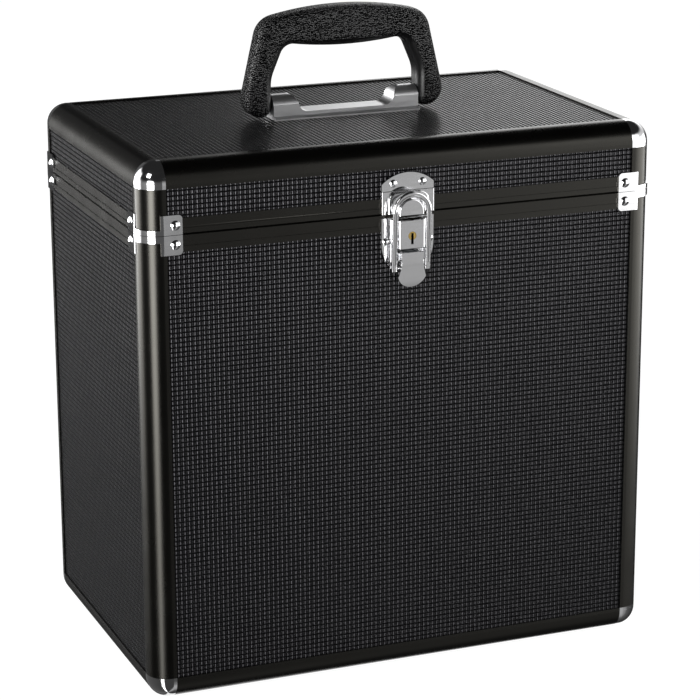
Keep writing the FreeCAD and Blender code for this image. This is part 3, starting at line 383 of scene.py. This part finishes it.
@dataclass(frozen=True)
class ZincPlate:
    """Bright zinc on turned and cut steel.

    The eye sees a bluish grey metal with a cloudy, slightly rough surface.
    """

    tint: str = "#b4b8bb"
    cloud_tint: str = "#9fa5aa"
    cloud_size: float = 4 * MM
    cloud_roughness: Span = (-0.08, 0.12)
    roughness: float = 0.32

    def build(self) -> bpy.types.Material:
        """Makes the finish for pins, screws and the stiffener.

        Returns:
            The material.
        """
        material, tree = new_material("bright_zinc_on_steel")
        coordinates = add(tree, "TexCoord").outputs["Object"]
        clouds = add(tree, "TexNoise", {"Vector": coordinates, "Scale": 1 / self.cloud_size,
                                        "Detail": 4.0})
        smoothest, roughest = (self.roughness + change for change in self.cloud_roughness)
        rough = add(tree, "MapRange", {"Value": clouds.outputs["Fac"], "To Min": smoothest,
                                       "To Max": roughest})
        tone = add(tree, "Mix", {0: clouds.outputs["Fac"], "A": colour(self.tint),
                                 "B": colour(self.cloud_tint)}, data_type="RGBA")
        finish_surface(tree, {"Base Color": tone.outputs["Result"], "Metallic": 1.0,
                              "Roughness": rough.outputs[0]})
        return material


@dataclass(frozen=True)
class TurnedBrass:
    """Brass bar turned to a plug, left bare.

    The eye sees warm yellow metal with faint turning rings, and painted shade in the key slot.
    """

    centre: Point
    face: float
    tint: str = "#d2b673"
    # Painted shade in the key slot, behind the plug's face.
    slot_shade_tint: str = "#0c0a07"
    recess: float = 0.15 * MM
    roughness: float = 0.22
    # Distance per radian of the rings, which are drawn coarser than real ones so that they show.
    ring_radian: float = 0.35 * MM
    ring_waver: float = 0.3
    ring_depth: float = 0.02 * MM
    ring_strength: float = 0.3

    def build(self) -> bpy.types.Material:
        """Makes the finish for the lock's cylinder.

        Returns:
            The material.
        """
        material, tree = new_material("turned_brass")
        coordinates = add(tree, "TexCoord").outputs["Object"]
        centred = add(tree, "Mapping", {"Vector": coordinates,
                                        "Location": tuple(-part for part in self.centre)})
        rings = add(tree, "TexWave", {"Vector": centred.outputs[0], "Distortion": self.ring_waver,
                                      "Scale": 1 / (WAVE_RADIANS * self.ring_radian)},
                    wave_type="RINGS", rings_direction="Y")
        bump = add(tree, "Bump", {"Strength": self.ring_strength, "Distance": self.ring_depth,
                                  "Height": rings.outputs["Fac"]})
        axes = add(tree, "SeparateXYZ", {"Vector": coordinates})
        # Painted shade: behind the plug's face, in the key slot, the brass turns near black.
        depth = add(tree, "MapRange", {"Value": axes.outputs["Y"], "From Min": self.face,
                                       "From Max": self.face + self.recess})
        tone = add(tree, "Mix", {0: depth.outputs[0], "A": colour(self.tint),
                                 "B": colour(self.slot_shade_tint)}, data_type="RGBA")
        finish_surface(tree, {"Base Color": tone.outputs["Result"], "Metallic": 1.0,
                              "Roughness": self.roughness, "Normal": bump.outputs["Normal"]})
        return material


@dataclass(frozen=True)
class PebbledPlastic:
    """Black polypropylene moulded in a tool with an etched grain.

    The eye sees a crowd of small round grains with pin-point glints, and a smooth satin face
    towards the fingers.
    """

    window_centre: Point
    # The real grains are finer; they are drawn coarser so that they show.
    grain: float = 1.15 * MM
    grain_lean: float = 1.7
    # Distance from a grain's middle, in grains, where the valley starts and where it is deepest.
    valley: Span = (0.45, 0.62)
    # Gloss on a grain and at the bottom of a valley; the lower gloss in the valleys is painted shade.
    shade_dimmed_shine: Span = (0.5, 0.1)
    # How squarely a face looks at the finger gap where the grain ends and where it is whole.
    grain_edge: Span = (0.34, 0.28)
    ior: float = 1.49
    tint: str = "#080809"
    grain_roughness: float = 0.15
    smooth_roughness: float = 0.34

    def build(self) -> bpy.types.Material:
        """Makes the finish for the grip.

        Returns:
            The material.
        """
        material, tree = new_material("pebbled_polypropylene")
        source = add(tree, "TexCoord")
        coordinates = source.outputs["Object"]
        grains = add(tree, "TexVoronoi", {"Vector": coordinates, "Scale": 1 / self.grain})
        grained = self._grain_share(tree, source)
        from_middle = add(tree, "VectorMath", {0: coordinates, 1: grains.outputs["Position"]},
                          operation="SUBTRACT")
        share = add(tree, "Math", {0: grained, 1: self.grain_lean / self.grain}, operation="MULTIPLY")
        lean = add(tree, "VectorMath", {0: from_middle.outputs[0], "Scale": share.outputs[0]},
                   operation="SCALE")
        start, deepest = self.valley
        valley = add(tree, "MapRange", {"Value": grains.outputs["Distance"], "From Min": start,
                                        "From Max": deepest, "To Max": grained})
        on_grain, in_valley = self.shade_dimmed_shine
        # Painted shade: the gloss dims in the valleys between grains.
        shade_dimmed_shine = add(tree, "MapRange", {"Value": valley.outputs[0], "To Min": on_grain,
                                       "To Max": in_valley})
        rough = add(tree, "MapRange", {"Value": grained, "To Min": self.smooth_roughness,
                                       "To Max": self.grain_roughness})
        finish_surface(tree, {
            "Base Color": colour(self.tint), "Roughness": rough.outputs[0],
            "Specular IOR Level": shade_dimmed_shine.outputs[0], "IOR": self.ior,
            "Normal": leaning_normal(tree, source, lean.outputs[0]),
        })
        return material

    def _grain_share(self, tree: bpy.types.NodeTree, source: bpy.types.Node) -> bpy.types.NodeSocket:
        """Share of grain at a point: none where the surface faces the finger gap.

        Args:
            tree: The material's tree.
            source: The texture coordinate node.

        Returns:
            The socket that carries the share.
        """
        inward = add(tree, "VectorMath", {0: self.window_centre, 1: source.outputs["Object"]},
                     operation="SUBTRACT")
        flat = add(tree, "VectorMath", {0: inward.outputs[0], 1: (1.0, 0.0, 1.0)}, operation="MULTIPLY")
        heading = add(tree, "VectorMath", {0: flat.outputs[0]}, operation="NORMALIZE")
        facing = add(tree, "VectorMath", {0: heading.outputs[0], 1: source.outputs["Normal"]},
                     operation="DOT_PRODUCT")
        none, whole = self.grain_edge
        return add(tree, "MapRange", {"Value": facing.outputs["Value"], "From Min": none,
                                      "From Max": whole}).outputs[0]


@dataclass(frozen=True)
class FoamSheet:
    """Black cross-linked polyethylene foam, split to a thin sheet.

    The eye sees a dead matt surface with fine closed cells and faint mottling.
    """

    tint: str = "#1a1a1c"
    mottle_tint: str = "#26262a"
    mottle_size: float = 15 * MM
    cell: float = 0.6 * MM
    cell_depth: float = 0.08 * MM
    cell_strength: float = 0.7
    roughness: float = 0.92

    def build(self) -> bpy.types.Material:
        """Makes the finish for the linings.

        Returns:
            The material.
        """
        material, tree = new_material("split_polyethylene_foam")
        coordinates = add(tree, "TexCoord").outputs["Object"]
        cells = add(tree, "TexVoronoi", {"Vector": coordinates, "Scale": 1 / self.cell})
        mottle = add(tree, "TexNoise", {"Vector": coordinates, "Scale": 1 / self.mottle_size,
                                        "Detail": 3.0})
        tone = add(tree, "Mix", {0: mottle.outputs["Fac"], "A": colour(self.tint),
                                 "B": colour(self.mottle_tint)}, data_type="RGBA")
        bump = add(tree, "Bump", {"Strength": self.cell_strength, "Distance": self.cell_depth,
                                  "Height": cells.outputs["Distance"]})
        finish_surface(tree, {"Base Color": tone.outputs["Result"], "Roughness": self.roughness,
                              "Normal": bump.outputs["Normal"]})
        return material


def dress(node: str, material: bpy.types.Material) -> None:
    """Gives a CAD node its finish.

    Args:
        node: The node's name.
        material: The finish.
    """
    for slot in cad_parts[node].material_slots:
        slot.material = material


def keep_piece(piece: bpy.types.Object, body: str) -> None:
    """Puts a new piece on its body and logs which body it rides on.

    Args:
        piece: The new object.
        body: The CAD body that it rides on.
    """
    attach(piece, body)
    log.info("%s rides on %s", piece.name, body)


@dataclass(frozen=True)
class BoardsAndFrame:
    """The boards and the black extrusions that hold them, in the base and in the lid."""

    levels: tuple[str, ...] = ("base", "lid")
    corners: tuple[str, ...] = ("front_left", "front_right", "back_right", "back_left")

    def dress(self) -> None:
        """Gives every board and extrusion its finish."""
        upright, side, level_film = (EmbossedFilm(plane).build() for plane in Plane)
        runs = {run: AnodisedAluminium(run).build() for run in Run}
        for level in self.levels:
            for place in ("front", "back"):
                dress(f"{level}_{place}_board", upright)
                dress(f"{level}_edge_{place}", runs[Run.X])
                dress(f"{level}_rail_{place}", runs[Run.X])
            for place in ("left", "right"):
                dress(f"{level}_{place}_board", side)
                dress(f"{level}_edge_{place}", runs[Run.Y])
                dress(f"{level}_rail_{place}", runs[Run.Y])
            for corner in self.corners:
                dress(f"{level}_post_{corner}", runs[Run.Z])
        dress("lid_top_board", level_film)
        dress("base_bottom_board", level_film)
        log.info("boards and frame dressed")


@dataclass(frozen=True)
class Fittings:
    """Corner caps, brackets, rivets, hinges, latch and handle bracket."""

    plated: tuple[str, ...] = (
        "base_corner_caps", "lid_corner_caps", "base_corner_brackets", "lid_corner_brackets",
        "base_rivets", "lid_rivets", "latch_plate_rivets", "strike_rivets", "strike_plate",
        "latch_base_plate", "latch_lever", "latch_bail", "hinge_base_leaves",
        "hinge_lid_leaves",
    )
    zinc: tuple[str, ...] = (
        "handle_pins", "handle_screws", "handle_stiffener", "hinge_pins", "latch_pivot_pin",
    )
    nickel_roughness: float = 0.30
    slot_half_width: float = 1.1 * MM

    def dress(self) -> None:
        """Gives every fitting its finish."""
        chrome = BrightChrome().build()
        for node in self.plated:
            dress(node, chrome)
        nickel = BrightChrome("dull_nickel_on_steel", roughness=self.nickel_roughness).build()
        dress("handle_bracket", nickel)
        zinc = ZincPlate().build()
        for node in self.zinc:
            dress(node, zinc)
        low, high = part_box("lock_cylinder")
        middle = tuple((a + b) / 2 for a, b in zip(low, high))
        dress("lock_cylinder", TurnedBrass(middle, low[1]).build())
        slot = (middle[0], self.slot_half_width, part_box("lock_housing")[0][1])
        dress("lock_housing", BrightChrome("slotted_chrome_on_steel", slot=slot).build())
        log.info("fittings dressed")


@dataclass(frozen=True)
class Grip:
    """The moulded grip of the handle."""

    window_centre: Point = (0.0, 0.0, 0.385)

    def dress(self) -> None:
        """Gives the grip its finish."""
        dress("handle_grip", PebbledPlastic(self.window_centre).build())
        log.info("grip dressed")


@dataclass(frozen=True)
class Lining:
    """A foam lining of five glued sheets that stands for one CAD tray."""

    node: str
    body: str
    opens_up: bool
    sheet: float = 1.5 * MM
    joint: float = 0.3 * MM
    rounding: float = 0.4 * MM

    def build(self, material: bpy.types.Material) -> None:
        """Makes the five sheets in the tray's place.

        Args:
            material: The foam.
        """
        low, high = (Vector(corner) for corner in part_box(self.node))
        form = bmesh.new()
        floor_low, floor_high = low.copy(), high.copy()
        wall_low, wall_high = low.z, high.z
        if self.opens_up:
            floor_high.z = low.z + self.sheet
            wall_low = floor_high.z + self.joint
        else:
            floor_low.z = high.z - self.sheet
            wall_high = floor_low.z - self.joint
        self._sheet(form, floor_low, floor_high)
        inset = self.sheet + self.joint
        for near, far in ((low.y, low.y + self.sheet), (high.y - self.sheet, high.y)):
            self._sheet(form, Vector((low.x, near, wall_low)), Vector((high.x, far, wall_high)))
        for near, far in ((low.x, low.x + self.sheet), (high.x - self.sheet, high.x)):
            self._sheet(form, Vector((near, low.y + inset, wall_low)),
                        Vector((far, high.y - inset, wall_high)))
        mesh = bpy.data.meshes.new(f"{self.node}_foam")
        form.to_mesh(mesh)
        form.free()
        mesh.materials.append(material)
        piece = bpy.data.objects.new(f"{self.node}_foam", mesh)
        bpy.context.scene.collection.objects.link(piece)
        keep_piece(piece, self.body)
        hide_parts(self.node)

    def _sheet(self, form: bmesh.types.BMesh, low: Vector, high: Vector) -> None:
        """Adds one sheet with softened edges.

        Args:
            form: The lining's mesh.
            low: The sheet's lowest corner.
            high: The sheet's highest corner.
        """
        made = bmesh.ops.create_cube(form, size=1.0)["verts"]
        bmesh.ops.scale(form, vec=high - low, verts=made)
        bmesh.ops.translate(form, vec=(low + high) / 2, verts=made)
        edges = list({edge for vertex in made for edge in vertex.link_edges})
        bmesh.ops.bevel(form, geom=edges, offset=self.rounding, offset_type="OFFSET", segments=2,
                        profile=0.5, affect="EDGES", material=-1, clamp_overlap=True)


@dataclass(frozen=True)
class PhotoCamera:
    """The camera at the photograph's place."""

    place: Point = (-0.64474, -1.63323, 0.70680)
    aim: Point = (-0.001225, -0.016096, 0.194695)
    roll: float = -0.182
    focal_length: float = 136.17
    sensor: float = 36.0

    def build(self) -> None:
        """Makes the camera and sets it as the scene's own."""
        data = bpy.data.cameras.new("photo_camera")
        data.lens = self.focal_length
        data.sensor_width = self.sensor
        camera = bpy.data.objects.new("photo_camera", data)
        bpy.context.scene.collection.objects.link(camera)
        heading = Vector(self.aim) - Vector(self.place)
        level = heading.to_track_quat("-Z", "Y")
        camera.location = self.place
        camera.rotation_euler = (level @ Quaternion((0, 0, 1), math.radians(self.roll))).to_euler()
        bpy.context.scene.camera = camera


@dataclass(frozen=True)
class Lamp:
    """A soft rectangular lamp that looks at the case."""

    name: str
    place: Point
    width: float
    height: float
    radiance: float
    aim: Point = (0.0, 0.0, 0.2)

    def build(self) -> None:
        """Makes the lamp."""
        data = bpy.data.lights.new(self.name, "AREA")
        data.shape = "RECTANGLE"
        data.size = self.width
        data.size_y = self.height
        data.energy = self.radiance * math.pi * self.width * self.height
        lamp = bpy.data.objects.new(self.name, data)
        lamp.location = self.place
        heading = Vector(self.aim) - Vector(self.place)
        lamp.rotation_euler = heading.to_track_quat("-Z", "Y").to_euler()
        bpy.context.scene.collection.objects.link(lamp)


@dataclass(frozen=True)
class Studio:
    """A pale floor, one lamp and rings of light and dark walls.

    A ring lists levels against the direction in degrees, from 0 at the front through the left.
    A rise gives the heights of a direction, from -1 to 1, between which one ring passes to the next.
    """

    floor_side: float = 14.0
    floor_tint: str = "#e6e6e6"
    floor_glow: float = 1.3
    floor_glow_share: float = 0.75
    peak: float = 16.0
    low: Levels = (
        (-180, 0.05), (-163, 0.05), (-157, 0.8), (-148, 0.8), (-143, 0.03), (-97, 0.05), (-60, 0.1),
        (-31, 0.4), (-23, 0.4), (-20, 0.15), (-17, 0.05), (34, 0.05), (38, 3.2), (48, 3.2),
        (53, 0.05), (150, 0.1), (166, 0.15), (180, 0.05),
    )
    middle: Levels = (
        (-180, 0.1), (-166, 0.1), (-162, 0.05), (-156, 1.0), (-148, 1.0), (-143, 0.05), (-106, 0.05),
        (-97, 6.0), (-60, 5.2), (-35, 2.6), (-28, 1.6), (-26.4, 0.7), (-24, 0.4), (-22, 0.46),
        (-18.2, 0.22), (-17.7, 0.5), (-15.5, 0.5), (-14, 0.1), (24, 0.1), (33, 16.0), (54, 16.0),
        (61, 0.3), (94, 0.2), (104, 1.4), (116, 9.5), (148, 9.5), (155, 0.5), (160, 0.06),
        (180, 0.06),
    )
    above: Levels = (
        (-180, 0.03), (-161, 0.03), (-155, 2.2), (-148, 2.2), (-120, 0.9), (-97, 0.6), (-60, 0.8),
        (-34, 2.8), (-28, 2.4), (-25, 0.1), (-22, 0.02), (104, 0.02), (116, 2.5), (146, 2.5),
        (156, 0.1), (180, 0.1),
    )
    backdrop: Levels = ((-180, 0.0), (-172, 0.0), (-167, 1.0), (-148, 1.0), (-143, 0.0), (180, 0.0))
    zenith: float = 0.02
    middle_rise: Span = (-0.315, -0.215)
    above_rise: Span = (-0.05, 0.30)
    zenith_rise: Span = (0.38, 0.62)
    backdrop_rise: Span = (0.05, -0.05)
    lamp: Lamp = Lamp("left_key", place=(-1.5, -0.9, 1.6), width=0.7, height=0.7, radiance=4.0)

    def build(self) -> None:
        """Makes the floor, the world and the lamp."""
        self._floor()
        self._world()
        self.lamp.build()

    def _floor(self) -> None:
        """Makes the floor, which shows white where no shadow falls."""
        form = bmesh.new()
        bmesh.ops.create_grid(form, x_segments=1, y_segments=1, size=self.floor_side / 2)
        mesh = bpy.data.meshes.new("floor")
        form.to_mesh(mesh)
        form.free()
        floor = bpy.data.objects.new("floor", mesh)
        bpy.context.scene.collection.objects.link(floor)
        material, tree = new_material("white_paper_floor")
        paper = add(tree, "BsdfDiffuse", {"Color": colour(self.floor_tint)})
        glow = add(tree, "Emission", {"Strength": self.floor_glow})
        path = add(tree, "LightPath")
        share = add(tree, "Math", {0: path.outputs["Is Camera Ray"], 1: self.floor_glow_share},
                    operation="MULTIPLY")
        mixed = add(tree, "MixShader", {0: share.outputs[0], 1: paper.outputs[0], 2: glow.outputs[0]})
        add(tree, "OutputMaterial", {"Surface": mixed.outputs[0]})
        mesh.materials.append(material)
        floor.visible_glossy = False

    def _ring(self, tree: bpy.types.NodeTree, turn: bpy.types.NodeSocket, levels: Levels,
              peak: float) -> bpy.types.NodeSocket:
        """Adds one ring of levels.

        Args:
            tree: The world's tree.
            turn: The direction round the ring, from 0 to 1.
            levels: Pairs of degrees and level.
            peak: The level that the socket carries as one.

        Returns:
            The socket that carries the level as a share of the peak.
        """
        ramp = add(tree, "ValToRGB", {"Fac": turn})
        stops = ramp.color_ramp.elements
        while len(stops) < len(levels):
            stops.new(1.0)
        for stop, (degrees, level) in zip(stops, levels):
            stop.position = (degrees + 180) / 360
            share = level / peak
            stop.color = (share, share, share, 1.0)
        return ramp.outputs["Color"]

    def _blend(self, tree: bpy.types.NodeTree, height: bpy.types.NodeSocket, rise: Span,
               lower: Value, upper: Value) -> bpy.types.NodeSocket:
        """Passes from one part of the room to the next with height.

        Args:
            tree: The world's tree.
            height: The direction's height, from -1 to 1.
            rise: The heights where the lower part ends and where the upper part is full.
            lower: The colour below.
            upper: The colour above.

        Returns:
            The socket that carries the mixed colour.
        """
        share = add(tree, "MapRange", {"Value": height, "From Min": rise[0], "From Max": rise[1]},
                    interpolation_type="SMOOTHSTEP")
        return add(tree, "Mix", {0: share.outputs[0], "A": lower, "B": upper},
                   data_type="RGBA").outputs["Result"]

    def _world(self) -> None:
        """Makes the world: white to the camera and in the backdrop, and the rings elsewhere."""
        world = bpy.data.worlds.new("studio")
        world.use_nodes = True
        tree = world.node_tree
        tree.nodes.clear()
        axes = add(tree, "SeparateXYZ", {"Vector": add(tree, "TexCoord").outputs["Generated"]})
        left = add(tree, "Math", {0: axes.outputs["X"], 1: -1.0}, operation="MULTIPLY")
        ahead = add(tree, "Math", {0: axes.outputs["Y"], 1: -1.0}, operation="MULTIPLY")
        angle = add(tree, "Math", {0: left.outputs[0], 1: ahead.outputs[0]}, operation="ARCTAN2")
        turn = add(tree, "Math", {0: angle.outputs[0], 1: 1 / math.tau, 2: 0.5},
                   operation="MULTIPLY_ADD").outputs[0]
        height = axes.outputs["Z"]
        room = self._ring(tree, turn, self.low, self.peak)
        for levels, rise in ((self.middle, self.middle_rise), (self.above, self.above_rise)):
            ring = self._ring(tree, turn, levels, self.peak)
            room = self._blend(tree, height, rise, room, ring)
        roof = self.zenith / self.peak
        room = self._blend(tree, height, self.zenith_rise, room, (roof, roof, roof, 1.0))
        lit = add(tree, "Background", {"Color": room, "Strength": self.peak})
        white = add(tree, "Background", {"Color": (1.0, 1.0, 1.0, 1.0), "Strength": 1.0})
        path = add(tree, "LightPath")
        mirrored = add(tree, "Math", {0: path.outputs["Is Glossy Ray"],
                                      1: path.outputs["Is Transmission Ray"]}, operation="ADD")
        over, under = self.backdrop_rise
        below = add(tree, "MapRange", {"Value": height, "From Min": over, "From Max": under})
        behind = add(tree, "Math", {0: self._ring(tree, turn, self.backdrop, 1.0),
                                    1: below.outputs[0]}, operation="MULTIPLY")
        seen = add(tree, "Math", {0: mirrored.outputs[0], 1: behind.outputs[0],
                                  2: path.outputs["Is Camera Ray"]}, operation="MULTIPLY_ADD",
                   use_clamp=True)
        mixed = add(tree, "MixShader", {0: seen.outputs[0], 1: lit.outputs[0], 2: white.outputs[0]})
        add(tree, "OutputWorld", {"Surface": mixed.outputs[0]})
        bpy.context.scene.world = world


def main() -> None:
    """Builds the scene, piece by piece."""
    logging.basicConfig(level=logging.INFO, format="%(message)s")
    bpy.context.scene.view_settings.view_transform = "Standard"
    PhotoCamera().build()
    Studio().build()
    BoardsAndFrame().dress()
    Fittings().dress()
    Grip().dress()
    foam = FoamSheet().build()
    Lining("base_lining", "case_base", opens_up=True).build(foam)
    Lining("lid_lining", "lid", opens_up=False).build(foam)


if __name__ == "__main__":
    main()
